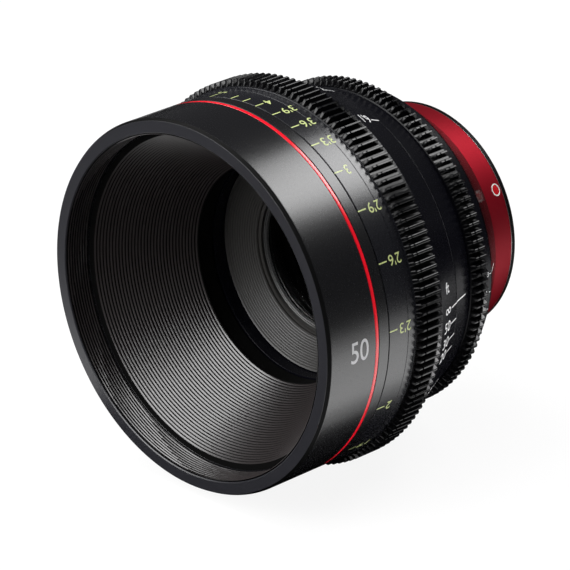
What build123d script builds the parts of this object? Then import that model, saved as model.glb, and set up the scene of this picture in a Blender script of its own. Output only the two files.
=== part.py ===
from build123d import *
import math
import os

os.makedirs("parts", exist_ok=True)

# The optical axis is the Y axis, the front of the lens faces -Y and +Z is up.
# A station is a distance in front of the camera flange, so the flange face is station 0.
SECTION = Plane(origin=(0, 0, 0), x_dir=(1, 0, 0), z_dir=(0, 0, -1))
ACROSS = Plane.XZ

# Clearances that several pieces share
shell_clearance = 0.05
running_clearance = 0.05
face_gap = 0.3
cut_overrun = 1.0

# Front barrel
barrel_radius = 57.0
front_chamfer_depth = 1.2
front_chamfer_height = 0.65
clamp_length = 18.0
thread_wall = 4.5
thread_length = 9.0
baffle_shoulder = 0.6
nose_length = 6.95

# Red line ring, laid below the surface in its groove
line_setback = 4.05
line_width = 1.2
line_depth = 1.3
line_recess = 0.55

# Ribbed front baffle
funnel_lip_width = 2.0
funnel_lip_thickness = 1.3
funnel_wall = 1.2
funnel_tail_length = 6.5
funnel_step = 0.9
throat_step = 0.65

# Focus ring
focus_wall = 6.95
focus_band_length = 11.35
focus_tail_length = 12.75
focus_cone_length = 9.15
focus_bevel = 0.6
focus_ridge_drop = 4.15
focus_cone_drop = 0.3
focus_throw_angle = 300.0
focus_travel = 4.3

# Fixed index cone, part of the main barrel
index_front_step = 0.7
index_rear_step = 0.2
index_cone_length = 9.05

# Gears with the standard cinema pitch
gear_module = 0.8
focus_tip_rise = 2.2
focus_gear_width = 8.9
iris_tip_rise = 2.5
iris_gear_width = 6.1
tooth_depth_share = 2.25
tip_land_share = 0.30
root_land_share = 0.24

# Cam follower that the focus ring drives
follower_radius = 1.5
follower_setback = 5.85
follower_angle = -90.0
follower_depth = 2.0
groove_depth = 1.9

# Front cell and glass
cell_radius = 34.55
cell_body_length = 9.9
cell_cone_length = 5.4
cell_cone_drop = 10.45
cell_wall = 4.5
cell_ledge_thickness = 2.2
cell_tail_gap = 0.6
cell_step_gap = 0.7
front_glass_edge = 4.0
front_glass_curve = 110.0
trim_ring_width = 1.4
trim_ring_height = 0.9
cell_lock_thickness = 2.0

# Iris ring
iris_front_radius = 48.7
iris_wall = 4.65
iris_skirt_drop = 1.1
iris_skirt_length = 4.5
iris_lip = 0.1
iris_throw_angle = 60.0

# Rear barrel
rear_seat_depth = 3.6
rear_cone_step = 0.4
rear_cone_length = 11.4
rear_cone_rear_step = 0.75
iris_floor_rise = 1.9

# Iris mechanism
blade_count = 11
blade_thickness = 0.06
blade_tilt_angle = 8.0
blade_slope_angle = 62.0
blade_swing_angle = 33.0
blade_sweep_angle = 96.0
blade_head_angle = 3.0
blade_corners = 7
pivot_circle_radius = 24.5
open_drop = 9.2
blade_outer_drop = 2.7
blade_tail_drop = 5.5
heel_length = 8.5
heel_half_width = 1.3
pin_radius = 0.5
pin_clearance = 0.05
slot_clearance = 0.12
blade_lift = 0.4
iris_bore_rise = 7.5
iris_plate_thickness = 1.5
iris_plate_lap = 0.3
cam_ring_thickness = 1.5
cam_ring_gap = 0.9
cam_ring_drop = 0.9
iris_cover_thickness = 1.2
drive_pin_radius = 0.6
drive_pin_depth = 1.2
drive_pin_seat = 2.0
drive_pin_angle = -120.0

# Bayonet plate and the red mount ring in front of it
spigot_radius = 25.4
spigot_length = 5.2
spigot_wall = 1.4
lug_height = 1.6
lug_thickness = 1.4
lug_count = 3
lug_span_angle = 48.0
lug_start_angle = 30.0
seat_step = 0.6
seat_relief = 0.4
plate_thickness = 1.8
plate_rim_drop = 0.4
plate_neck_length = 5.6
plate_neck_wall = 4.6
neck_gap = 0.8
mount_ring_wall = 5.8
mount_ring_flare = 1.95
mount_ring_length = 9.9
screw_inset = 1.2
screw_radius = 0.9
screw_head_radius = 1.7
screw_head_height = 1.1
screw_length = 5.0
screw_count = 4
screw_angle = 15.0
dot_radius = 1.15
rim_radius = 1.95
dot_setback = 2.65
dot_angle = 30.4
dot_height = 0.25
dot_depth = 1.6

# Rear cell and glass
rear_cell_overhang = 2.5
rear_cell_wall = 2.2
rear_glass_edge = 4.5
rear_glass_curve = 60.0
rear_ledge_thickness = 1.5
rear_lock_thickness = 2.0

# Radii that follow from the ones above, from the mount to the front
rear_bore_radius = spigot_radius - spigot_wall
lug_radius = spigot_radius + lug_height
seat_inner_radius = lug_radius + seat_step
mount_ring_bore = spigot_radius + plate_neck_wall
screw_circle_radius = mount_ring_bore + screw_inset
mount_ring_rear_radius = mount_ring_bore + mount_ring_wall
mount_ring_front_radius = mount_ring_rear_radius + mount_ring_flare
plate_rim_radius = mount_ring_rear_radius - plate_rim_drop
rear_cell_radius = rear_bore_radius - shell_clearance
rear_glass_radius = rear_cell_radius - rear_cell_wall - shell_clearance
iris_bore_radius = pivot_circle_radius + iris_bore_rise
open_radius = pivot_circle_radius - open_drop
iris_plate_bore = open_radius - iris_plate_lap
blade_outer_radius = pivot_circle_radius - blade_outer_drop
blade_tail_radius = pivot_circle_radius - blade_tail_drop
cam_ring_inner_radius = pivot_circle_radius - cam_ring_drop
iris_bore = iris_front_radius - iris_wall
rear_neck_radius = iris_bore - running_clearance
iris_skirt_radius = iris_front_radius - iris_skirt_drop
iris_teeth = round(2 * (iris_front_radius + iris_tip_rise) / gear_module) - 2
rear_cone_front_radius = iris_skirt_radius - rear_cone_step
rear_cone_rear_radius = mount_ring_front_radius + rear_cone_rear_step
cell_cone_radius = cell_radius - cell_cone_drop
front_glass_radius = cell_radius - cell_wall - shell_clearance
main_bore_radius = cell_radius + running_clearance
focus_bore_radius = barrel_radius - focus_wall
focus_cone_radius = barrel_radius - focus_cone_drop
focus_ridge_radius = barrel_radius - focus_ridge_drop
focus_teeth = round(2 * (barrel_radius + focus_tip_rise) / gear_module) - 2
main_radius = focus_bore_radius - running_clearance
index_front_radius = focus_ridge_radius - index_front_step
index_rear_radius = iris_front_radius + index_rear_step
line_radius = barrel_radius - line_depth
thread_radius = barrel_radius - thread_wall
baffle_seat_radius = thread_radius - baffle_shoulder
funnel_mouth_radius = baffle_seat_radius - funnel_lip_width
funnel_throat_radius = cell_radius - throat_step
funnel_bore_radius = funnel_throat_radius + funnel_step

# Stations that follow, from the mount to the front
rear_spigot_station = plate_thickness + plate_neck_length + neck_gap
dot_station = plate_thickness + dot_setback
rear_cone_rear_station = plate_thickness + mount_ring_length
rear_cone_front_station = rear_cone_rear_station + rear_cone_length
iris_floor_station = rear_cone_front_station + iris_floor_rise
iris_plate_front_station = iris_floor_station + iris_plate_thickness
blade_station = iris_plate_front_station + blade_lift
cam_ring_rear_station = blade_station + cam_ring_gap
cam_ring_front_station = cam_ring_rear_station + cam_ring_thickness
cam_ring_middle = (cam_ring_rear_station + cam_ring_front_station) / 2
iris_ring_rear_station = rear_cone_front_station + face_gap
iris_gear_rear_station = iris_ring_rear_station + iris_skirt_length
iris_ring_front_station = iris_gear_rear_station + iris_gear_width + iris_lip
index_rear_station = iris_ring_front_station + face_gap
rear_front_station = index_rear_station + rear_seat_depth
index_front_station = index_rear_station + index_cone_length
cell_rear_station = rear_front_station + face_gap
cell_cone_station = rear_front_station + cell_body_length
cell_ledge_station = cell_cone_station - cell_ledge_thickness
cell_front_station = cell_cone_station + cell_cone_length
funnel_tail_station = cell_front_station + focus_travel + cell_tail_gap
main_step_station = funnel_tail_station - cell_step_gap
funnel_throat_station = funnel_tail_station + funnel_tail_length
focus_rear_station = index_front_station + face_gap
follower_station = focus_rear_station + follower_setback
focus_cone_station = focus_rear_station + focus_bevel + focus_cone_length
focus_gear_rear_station = focus_rear_station + focus_tail_length
focus_front_station = focus_gear_rear_station + focus_gear_width + focus_band_length
barrel_rear_station = focus_front_station + face_gap
main_nose_station = barrel_rear_station + nose_length
line_station = barrel_rear_station + line_setback
line_front_station = line_station + line_width
front_station = line_front_station + clamp_length + front_chamfer_depth
thread_end_station = front_station - thread_length
funnel_lip_station = thread_end_station - funnel_lip_thickness

# The main barrel's nose clears the back of the funnel, which slopes past its front edge
funnel_slope = (funnel_mouth_radius - funnel_bore_radius) / (funnel_lip_station - funnel_throat_station)
funnel_nose_radius = funnel_bore_radius + funnel_slope * (main_nose_station - funnel_throat_station)
main_nose_bore = funnel_nose_radius + funnel_wall + shell_clearance

# Iris drive pin
drive_pin_start = iris_bore_radius - running_clearance - drive_pin_depth
drive_pin_length = iris_bore + drive_pin_seat - drive_pin_start


def around(radius, angle, station):
    """Point at a radius and angle round the axis, at a station."""
    turn = math.radians(angle)
    return (radius * math.cos(turn), -station, radius * math.sin(turn))


def section_at(angle):
    """Half section plane at an angle round the axis: radius across, station up."""
    return Plane(origin=(0, 0, 0), x_dir=around(1, angle, 0), z_dir=around(1, angle - 90, 0))


def radial_plane(radius, angle, station):
    """Plane square to a radius, facing outwards."""
    return Plane(origin=around(radius, angle, station), x_dir=(0, 1, 0), z_dir=around(1, angle, 0))


def sag(curve, radius):
    """Depth of a spherical face between its middle and a radius."""
    return curve - math.sqrt(curve**2 - radius**2)


def heel_place(swing):
    """Radius and angle of a blade's drive pin, from its pivot's angle, once the blade has swung."""
    turn = math.radians(swing)
    outward = pivot_circle_radius + heel_length * math.sin(turn)
    sideways = -heel_length * math.cos(turn)
    return math.hypot(outward, sideways), math.degrees(math.atan2(sideways, outward))


def slot_point(share):
    """Point of a cam slot's middle line, at a share of the blades' whole swing."""
    radius, angle = heel_place(blade_swing_angle * share)
    turn = math.radians(angle - iris_throw_angle * share)
    return (radius * math.cos(turn), radius * math.sin(turn))


def blade_point(radius, angle):
    """Point of the open blade, from its pivot, on axes turned with the blade's slope."""
    turn = math.radians(angle)
    outward = radius * math.cos(turn) - pivot_circle_radius
    sideways = radius * math.sin(turn)
    slope = math.radians(blade_slope_angle)
    return (
        outward * math.cos(slope) + sideways * math.sin(slope),
        sideways * math.cos(slope) - outward * math.sin(slope),
    )


def gear_outline(teeth):
    """Corner points of a ring of straight-flanked teeth."""
    tip = gear_module * (teeth + 2) / 2
    root = tip - tooth_depth_share * gear_module
    pitch = 360 / teeth
    corners = []
    for tooth in range(teeth):
        middle = tooth * pitch
        tip_half = pitch * tip_land_share / 2
        root_half = pitch * (1 - root_land_share) / 2
        for radius, angle in (
            (root, middle - root_half),
            (tip, middle - tip_half),
            (tip, middle + tip_half),
            (root, middle + root_half),
        ):
            turn = math.radians(angle)
            corners.append((radius * math.cos(turn), radius * math.sin(turn)))
    return corners


def finish(builder, name):
    """Label a finished sub-part and write it to its own file."""
    builder.part.label = name
    export_step(builder.part, f"parts/{name}.step")


groove_width = 2 * (follower_radius + running_clearance)
follower_plane = radial_plane(cell_radius - follower_depth, follower_angle, follower_station)
drive_pin_plane = radial_plane(drive_pin_start, drive_pin_angle, cam_ring_middle)
dot_surface = mount_ring_rear_radius + mount_ring_flare * dot_setback / mount_ring_length
dot_tilt = math.atan2(mount_ring_flare, mount_ring_length)
dot_floor_radius = dot_surface - dot_depth * math.cos(dot_tilt)
dot_floor_station = dot_station + dot_depth * math.sin(dot_tilt)
dot_plane = Plane(
    origin=around(dot_floor_radius, dot_angle, dot_floor_station),
    x_dir=around(1, dot_angle + 90, 0),
    z_dir=around(math.cos(dot_tilt), dot_angle, -math.sin(dot_tilt)),
)

# Front barrel: filter thread bore, shoulder for the baffle, and the flange that seats on the main barrel
with BuildPart() as front_barrel:
    with BuildSketch(SECTION):
        with BuildLine():
            Polyline(
                (thread_radius, front_station),
                (barrel_radius - front_chamfer_height, front_station),
                (barrel_radius, front_station - front_chamfer_depth),
                (barrel_radius, line_front_station),
                (line_radius, line_front_station),
                (line_radius, line_station),
                (barrel_radius, line_station),
                (barrel_radius, barrel_rear_station),
                (main_radius, barrel_rear_station),
                (main_radius, main_nose_station),
                (baffle_seat_radius, main_nose_station),
                (baffle_seat_radius, thread_end_station),
                (thread_radius, thread_end_station),
                close=True,
            )
        make_face()
    revolve(axis=Axis.Y)
finish(front_barrel, "front_barrel")

# Red line ring, laid at the bottom of its groove
with BuildPart() as red_line_ring:
    with BuildSketch(ACROSS.offset(line_station)):
        Circle(barrel_radius - line_recess)
        Circle(line_radius, mode=Mode.SUBTRACT)
    extrude(amount=line_width)
finish(red_line_ring, "red_line_ring")

# Front baffle: a thin funnel with a flat lip and a short tail tube
with BuildPart() as front_baffle:
    with BuildSketch(SECTION):
        with BuildLine():
            Polyline(
                (funnel_mouth_radius, thread_end_station),
                (baffle_seat_radius - shell_clearance, thread_end_station),
                (baffle_seat_radius - shell_clearance, funnel_lip_station),
                (funnel_mouth_radius + funnel_wall, funnel_lip_station),
                (funnel_bore_radius + funnel_wall, funnel_throat_station),
                (funnel_bore_radius + funnel_wall, funnel_tail_station),
                (funnel_bore_radius, funnel_tail_station),
                (funnel_bore_radius, funnel_throat_station),
                (funnel_throat_radius, funnel_throat_station),
                close=True,
            )
        make_face()
    revolve(axis=Axis.Y)
finish(front_baffle, "front_baffle")

# Main barrel: the fixed tube that the focus ring turns on, with the index cone behind it
with BuildPart() as main_barrel:
    with BuildSketch(SECTION):
        with BuildLine():
            Polyline(
                (main_nose_bore, main_nose_station),
                (main_radius, main_nose_station),
                (main_radius, index_front_station),
                (index_front_radius, index_front_station),
                (index_rear_radius, index_rear_station),
                (rear_neck_radius, index_rear_station),
                (rear_neck_radius, rear_front_station),
                (main_bore_radius, rear_front_station),
                (main_bore_radius, main_step_station),
                (main_nose_bore, main_step_station),
                close=True,
            )
        make_face()
    revolve(axis=Axis.Y)
    with BuildSketch(radial_plane(0, follower_angle, follower_station + focus_travel / 2)):
        SlotCenterToCenter(focus_travel, groove_width)
    extrude(amount=main_radius + cut_overrun, mode=Mode.SUBTRACT)
finish(main_barrel, "main_barrel")

# Cam groove: the helical channel in the focus ring that pushes the follower along the axis
groove_floor = focus_bore_radius + groove_depth
groove_middle = (groove_floor + main_radius - cut_overrun) / 2
groove_spare = math.degrees(groove_width / focus_bore_radius)
groove_turn = focus_throw_angle + 2 * groove_spare
groove_rise = focus_travel * groove_turn / focus_throw_angle
groove_start = follower_station - focus_travel * groove_spare / focus_throw_angle
with BuildPart() as cam_groove:
    with BuildLine() as groove_path:
        Helix(
            pitch=focus_travel * 360 / focus_throw_angle,
            height=groove_rise,
            radius=groove_middle,
            lefthand=True,
        )
    with BuildSketch(Plane(groove_path.line @ 0, x_dir=(1, 0, 0), z_dir=groove_path.line % 0)):
        Rectangle(groove_floor - main_radius + cut_overrun, groove_width)
    sweep(is_frenet=True)
groove_place = Plane(
    origin=around(0, 0, groove_start),
    x_dir=around(1, follower_angle + groove_spare, 0),
    z_dir=(0, -1, 0),
)

# Focus ring: scale bands, gear and cam groove in one turned piece
with BuildPart() as focus_ring:
    with BuildSketch(SECTION):
        with BuildLine():
            Polyline(
                (focus_bore_radius, focus_rear_station),
                (focus_ridge_radius - focus_bevel, focus_rear_station),
                (focus_ridge_radius, focus_rear_station + focus_bevel),
                (focus_cone_radius, focus_cone_station),
                (focus_cone_radius, focus_gear_rear_station),
                (barrel_radius, focus_gear_rear_station),
                (barrel_radius, focus_front_station),
                (focus_bore_radius, focus_front_station),
                close=True,
            )
        make_face()
    revolve(axis=Axis.Y)
    with BuildSketch(ACROSS.offset(focus_gear_rear_station)):
        with BuildLine():
            Polyline(*gear_outline(focus_teeth), close=True)
        make_face()
        Circle(main_radius + groove_depth + cut_overrun, mode=Mode.SUBTRACT)
    extrude(amount=focus_gear_width)
    add(groove_place.from_local_coords(cam_groove.part), mode=Mode.SUBTRACT)
finish(focus_ring, "focus_ring")

# Cam follower, screwed into the front cell
with BuildPart() as cam_follower:
    with BuildSketch(follower_plane):
        Circle(follower_radius)
    extrude(amount=focus_bore_radius + groove_depth - face_gap - cell_radius + follower_depth)
finish(cam_follower, "cam_follower")

# Front cell: the sliding tube of the front group, with its ribbed cone and glass ledge
with BuildPart() as front_cell:
    with BuildSketch(SECTION):
        with BuildLine():
            Polyline(
                (cell_cone_radius, cell_cone_station),
                (cell_radius, cell_front_station),
                (cell_radius, cell_rear_station),
                (cell_radius - cell_wall, cell_rear_station),
                (cell_radius - cell_wall, cell_ledge_station),
                (cell_cone_radius, cell_ledge_station),
                close=True,
            )
        make_face()
    revolve(axis=Axis.Y)
    with BuildSketch(follower_plane):
        Circle(follower_radius)
    extrude(amount=follower_depth + cut_overrun, mode=Mode.SUBTRACT)
finish(front_cell, "front_cell")

# Front element, convex to the front, seated on the inner edge of the ledge
front_glass_apex = cell_ledge_station + sag(front_glass_curve, cell_cone_radius)
front_glass_rim = front_glass_apex - sag(front_glass_curve, front_glass_radius)
front_glass_back = front_glass_rim - front_glass_edge
with BuildPart() as front_glass:
    with BuildSketch(SECTION):
        with BuildLine():
            ThreePointArc(
                (0, front_glass_apex),
                (front_glass_radius / 2, front_glass_apex - sag(front_glass_curve, front_glass_radius / 2)),
                (front_glass_radius, front_glass_rim),
            )
            Polyline(
                (front_glass_radius, front_glass_rim),
                (front_glass_radius, front_glass_back),
                (0, front_glass_back),
                (0, front_glass_apex),
            )
        make_face()
    revolve(axis=Axis.Y)
finish(front_glass, "front_glass")

# Trim ring in front of the front element
trim_outer_radius = cell_cone_radius - shell_clearance
trim_inner_radius = trim_outer_radius - trim_ring_width
trim_rear_station = front_glass_apex - sag(front_glass_curve, trim_inner_radius) + shell_clearance
with BuildPart() as front_trim_ring:
    with BuildSketch(ACROSS.offset(trim_rear_station)):
        Circle(trim_outer_radius)
        Circle(trim_inner_radius, mode=Mode.SUBTRACT)
    extrude(amount=trim_ring_height)
finish(front_trim_ring, "front_trim_ring")

# Lock ring behind the front element
with BuildPart() as front_lock_ring:
    with BuildSketch(ACROSS.offset(front_glass_back - cell_lock_thickness)):
        Circle(front_glass_radius)
        Circle(cell_cone_radius, mode=Mode.SUBTRACT)
    extrude(amount=cell_lock_thickness)
finish(front_lock_ring, "front_lock_ring")

# Rear barrel: iris housing inside, neck for the iris ring outside, black cone behind
drive_pin_slot_half = drive_pin_radius + running_clearance
drive_pin_spare = math.degrees(drive_pin_slot_half / iris_bore_radius)
with BuildPart() as rear_barrel:
    with BuildSketch(SECTION):
        with BuildLine():
            Polyline(
                (iris_bore_radius, rear_front_station),
                (rear_neck_radius, rear_front_station),
                (rear_neck_radius, rear_cone_front_station),
                (rear_cone_front_radius, rear_cone_front_station),
                (rear_cone_rear_radius, rear_cone_rear_station),
                (mount_ring_bore - shell_clearance, rear_cone_rear_station),
                (mount_ring_bore - shell_clearance, rear_spigot_station),
                (rear_bore_radius, rear_spigot_station),
                (rear_bore_radius, iris_floor_station),
                (iris_bore_radius, iris_floor_station),
                close=True,
            )
        make_face()
    revolve(axis=Axis.Y)
    with BuildSketch(section_at(drive_pin_angle + iris_throw_angle + drive_pin_spare)):
        with Locations(((iris_bore_radius + rear_neck_radius) / 2, cam_ring_middle)):
            Rectangle(rear_neck_radius - iris_bore_radius + 2 * cut_overrun, 2 * drive_pin_slot_half)
    revolve(axis=Axis.Y, revolution_arc=iris_throw_angle + 2 * drive_pin_spare, mode=Mode.SUBTRACT)
finish(rear_barrel, "rear_barrel")

# Iris ring: gear, scale skirt behind it and the bore that turns on the neck
with BuildPart() as iris_ring:
    with BuildSketch(SECTION):
        with BuildLine():
            Polyline(
                (iris_bore, iris_ring_rear_station),
                (iris_skirt_radius, iris_ring_rear_station),
                (iris_front_radius, iris_gear_rear_station),
                (iris_front_radius, iris_ring_front_station),
                (iris_bore, iris_ring_front_station),
                close=True,
            )
        make_face()
    revolve(axis=Axis.Y)
    with BuildSketch(ACROSS.offset(iris_gear_rear_station)):
        with BuildLine():
            Polyline(*gear_outline(iris_teeth), close=True)
        make_face()
        Circle((iris_bore + iris_skirt_radius) / 2, mode=Mode.SUBTRACT)
    extrude(amount=iris_gear_width)
    with BuildSketch(drive_pin_plane):
        Circle(drive_pin_radius)
    extrude(amount=drive_pin_length, mode=Mode.SUBTRACT)
finish(iris_ring, "iris_ring")

# Drive pin that carries the iris ring's turn in to the cam ring
with BuildPart() as iris_drive_pin:
    with BuildSketch(drive_pin_plane):
        Circle(drive_pin_radius)
    extrude(amount=drive_pin_length)
finish(iris_drive_pin, "iris_drive_pin")

# Iris plate, with the holes that the blades pivot in
with BuildPart() as iris_plate:
    with BuildSketch(ACROSS.offset(iris_floor_station)):
        Circle(iris_bore_radius - shell_clearance)
        Circle(iris_plate_bore, mode=Mode.SUBTRACT)
        with PolarLocations(pivot_circle_radius, blade_count):
            Circle(pin_radius + pin_clearance, mode=Mode.SUBTRACT)
    extrude(amount=iris_plate_thickness)
finish(iris_plate, "iris_plate")

# Cam ring, with one curved slot for each blade's drive pin
with BuildPart() as iris_cam_ring:
    with BuildSketch(ACROSS.offset(cam_ring_rear_station)):
        Circle(iris_bore_radius - running_clearance)
        Circle(cam_ring_inner_radius, mode=Mode.SUBTRACT)
        with BuildLine(mode=Mode.PRIVATE) as slot_line:
            ThreePointArc(slot_point(0), slot_point(1 / 2), slot_point(1))
        with PolarLocations(0, blade_count):
            SlotArc(slot_line.edge(), 2 * (pin_radius + slot_clearance), mode=Mode.SUBTRACT)
    extrude(amount=cam_ring_thickness)
    with BuildSketch(drive_pin_plane):
        Circle(drive_pin_radius)
    extrude(amount=drive_pin_length, mode=Mode.SUBTRACT)
finish(iris_cam_ring, "iris_cam_ring")

# Cover ring that keeps the cam ring in its bore
with BuildPart() as iris_cover:
    with BuildSketch(ACROSS.offset(cam_ring_front_station + running_clearance)):
        Circle(iris_bore_radius - shell_clearance)
        Circle(cam_ring_inner_radius, mode=Mode.SUBTRACT)
    extrude(amount=iris_cover_thickness)
finish(iris_cover, "iris_cover")

# Iris blades: a flat heel with two pins, and a sickle that rises over its neighbours
for blade in range(blade_count):
    pivot_angle = blade * 360 / blade_count
    slope_angle = pivot_angle + blade_slope_angle
    rise = math.radians(blade_tilt_angle)
    pivot = around(pivot_circle_radius, pivot_angle, blade_station)
    across = Vector(around(1, slope_angle, 0))
    uphill = Vector(around(1, slope_angle + 90, 0))
    tilted = Plane(
        origin=pivot,
        x_dir=across,
        z_dir=Vector(0, -1, 0) * math.cos(rise) - uphill * math.sin(rise),
    )
    flat = Plane(origin=pivot, x_dir=around(1, pivot_angle, 0), z_dir=(0, -1, 0))
    inner_edge = [
        blade_point(open_radius, blade_sweep_angle * corner / blade_corners)
        for corner in range(blade_corners + 1)
    ]
    outer_edge = [
        blade_point(
            blade_outer_radius - (blade_outer_radius - blade_tail_radius) * corner / blade_corners,
            blade_sweep_angle * corner / blade_corners,
        )
        for corner in range(1, blade_corners + 1)
    ]
    head = [
        blade_point(pivot_circle_radius + heel_half_width, blade_head_angle),
        blade_point(pivot_circle_radius + heel_half_width, -blade_head_angle),
    ]
    with BuildPart() as iris_blade:
        with BuildSketch(tilted):
            with BuildLine():
                Polyline(*head, *inner_edge, *reversed(outer_edge), close=True)
            make_face()
        extrude(amount=blade_thickness)
        with BuildSketch(flat):
            with Locations((0, -heel_length / 2)):
                SlotCenterToCenter(heel_length, 2 * heel_half_width, rotation=90)
        extrude(amount=blade_thickness)
        with BuildSketch(flat.offset(2 * blade_thickness)):
            Circle(pin_radius)
        extrude(amount=iris_floor_station + running_clearance - blade_station - 2 * blade_thickness)
        with BuildSketch(flat):
            with Locations((0, -heel_length)):
                Circle(pin_radius)
        extrude(amount=cam_ring_front_station - blade_station)
    finish(iris_blade, f"iris_blade_{blade + 1:02d}")

# Rear cell with its ledge, element and lock ring
rear_glass_back = rear_ledge_thickness - rear_cell_overhang
rear_glass_rim = rear_glass_back + rear_glass_edge
rear_glass_apex = rear_glass_rim + sag(rear_glass_curve, rear_glass_radius)
rear_lock_inner_radius = rear_glass_radius - rear_cell_wall
rear_lock_station = rear_glass_apex - sag(rear_glass_curve, rear_lock_inner_radius)
with BuildPart() as rear_cell:
    with BuildSketch(SECTION):
        with BuildLine():
            Polyline(
                (rear_lock_inner_radius, -rear_cell_overhang),
                (rear_cell_radius, -rear_cell_overhang),
                (rear_cell_radius, iris_floor_station - shell_clearance),
                (rear_cell_radius - rear_cell_wall, iris_floor_station - shell_clearance),
                (rear_cell_radius - rear_cell_wall, rear_glass_back),
                (rear_lock_inner_radius, rear_glass_back),
                close=True,
            )
        make_face()
    revolve(axis=Axis.Y)
finish(rear_cell, "rear_cell")

with BuildPart() as rear_glass:
    with BuildSketch(SECTION):
        with BuildLine():
            ThreePointArc(
                (0, rear_glass_apex),
                (rear_glass_radius / 2, rear_glass_apex - sag(rear_glass_curve, rear_glass_radius / 2)),
                (rear_glass_radius, rear_glass_rim),
            )
            Polyline(
                (rear_glass_radius, rear_glass_rim),
                (rear_glass_radius, rear_glass_back),
                (0, rear_glass_back),
                (0, rear_glass_apex),
            )
        make_face()
    revolve(axis=Axis.Y)
finish(rear_glass, "rear_glass")

with BuildPart() as rear_lock_ring:
    with BuildSketch(ACROSS.offset(rear_lock_station)):
        Circle(rear_glass_radius)
        Circle(rear_lock_inner_radius, mode=Mode.SUBTRACT)
    extrude(amount=rear_lock_thickness)
finish(rear_lock_ring, "rear_lock_ring")

# Red mount ring between the rear barrel and the bayonet plate
with BuildPart() as mount_ring:
    with BuildSketch(SECTION):
        with BuildLine():
            Polyline(
                (mount_ring_bore, rear_cone_rear_station),
                (mount_ring_front_radius, rear_cone_rear_station),
                (mount_ring_rear_radius, plate_thickness),
                (mount_ring_bore, plate_thickness),
                close=True,
            )
        make_face()
    revolve(axis=Axis.Y)
    with BuildSketch(ACROSS.offset(plate_thickness)):
        with PolarLocations(screw_circle_radius, screw_count, screw_angle):
            Circle(screw_radius)
    extrude(amount=screw_length - plate_thickness + screw_head_height, mode=Mode.SUBTRACT)
    with BuildSketch(dot_plane):
        Circle(rim_radius)
    extrude(amount=dot_depth + cut_overrun, mode=Mode.SUBTRACT)
finish(mount_ring, "mount_ring")

# Index dot and its bright rim, set in the mount ring
with BuildPart() as index_dot:
    with BuildSketch(dot_plane):
        Circle(dot_radius)
    extrude(amount=dot_depth + dot_height)
finish(index_dot, "index_dot")

with BuildPart() as index_dot_rim:
    with BuildSketch(dot_plane):
        Circle(rim_radius)
        Circle(dot_radius, mode=Mode.SUBTRACT)
    extrude(amount=dot_depth + dot_height / 2)
finish(index_dot_rim, "index_dot_rim")

# Bayonet plate: flange, spigot, locating neck and lugs
with BuildPart() as bayonet_mount:
    with BuildSketch(SECTION):
        with BuildLine():
            Polyline(
                (rear_bore_radius, -spigot_length),
                (spigot_radius, -spigot_length),
                (spigot_radius, seat_relief),
                (seat_inner_radius, seat_relief),
                (seat_inner_radius, 0),
                (plate_rim_radius, 0),
                (mount_ring_rear_radius, plate_thickness),
                (mount_ring_bore - shell_clearance, plate_thickness),
                (mount_ring_bore - shell_clearance, plate_thickness + plate_neck_length),
                (rear_bore_radius, plate_thickness + plate_neck_length),
                close=True,
            )
        make_face()
    revolve(axis=Axis.Y)
    for lug in range(lug_count):
        with BuildSketch(section_at(lug_start_angle + lug * 360 / lug_count)):
            with Locations(((rear_bore_radius + lug_radius) / 2, lug_thickness / 2 - spigot_length)):
                Rectangle(lug_radius - rear_bore_radius, lug_thickness)
        revolve(axis=Axis.Y, revolution_arc=lug_span_angle)
    with BuildSketch(ACROSS):
        with PolarLocations(screw_circle_radius, screw_count, screw_angle):
            Circle(screw_radius)
    extrude(amount=plate_thickness, mode=Mode.SUBTRACT)
    with BuildSketch(ACROSS):
        with PolarLocations(screw_circle_radius, screw_count, screw_angle):
            Circle(screw_head_radius)
    extrude(amount=screw_head_height, mode=Mode.SUBTRACT)
finish(bayonet_mount, "bayonet_mount")

# Screws that hold the bayonet plate to the mount ring
with BuildPart() as mount_screws:
    with BuildSketch(ACROSS):
        with PolarLocations(screw_circle_radius, screw_count, screw_angle):
            Circle(screw_head_radius)
    extrude(amount=screw_head_height)
    with BuildSketch(ACROSS.offset(screw_head_height)):
        with PolarLocations(screw_circle_radius, screw_count, screw_angle):
            Circle(screw_radius)
    extrude(amount=screw_length)
finish(mount_screws, "mount_screws")
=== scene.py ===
import bmesh
import bpy
import math
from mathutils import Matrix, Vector


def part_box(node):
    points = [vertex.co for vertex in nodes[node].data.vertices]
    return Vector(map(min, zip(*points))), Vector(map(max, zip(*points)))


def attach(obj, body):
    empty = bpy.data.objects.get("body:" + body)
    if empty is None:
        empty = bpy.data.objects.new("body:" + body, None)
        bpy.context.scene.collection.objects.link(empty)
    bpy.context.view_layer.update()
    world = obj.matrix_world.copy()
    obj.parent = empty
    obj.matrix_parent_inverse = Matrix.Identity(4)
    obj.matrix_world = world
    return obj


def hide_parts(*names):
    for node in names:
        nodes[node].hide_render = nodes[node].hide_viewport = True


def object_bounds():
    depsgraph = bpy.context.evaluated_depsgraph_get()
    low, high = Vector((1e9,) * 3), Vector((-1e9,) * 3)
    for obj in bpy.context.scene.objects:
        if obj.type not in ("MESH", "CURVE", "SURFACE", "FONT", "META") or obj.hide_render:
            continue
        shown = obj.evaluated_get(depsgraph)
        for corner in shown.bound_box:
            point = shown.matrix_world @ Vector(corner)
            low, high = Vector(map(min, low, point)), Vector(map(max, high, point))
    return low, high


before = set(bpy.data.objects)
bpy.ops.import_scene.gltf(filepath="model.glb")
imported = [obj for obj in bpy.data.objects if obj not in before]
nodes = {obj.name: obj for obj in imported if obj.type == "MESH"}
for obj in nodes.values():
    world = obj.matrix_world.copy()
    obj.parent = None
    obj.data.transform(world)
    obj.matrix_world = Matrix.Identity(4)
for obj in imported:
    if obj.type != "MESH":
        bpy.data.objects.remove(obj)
cad_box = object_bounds()

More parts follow.
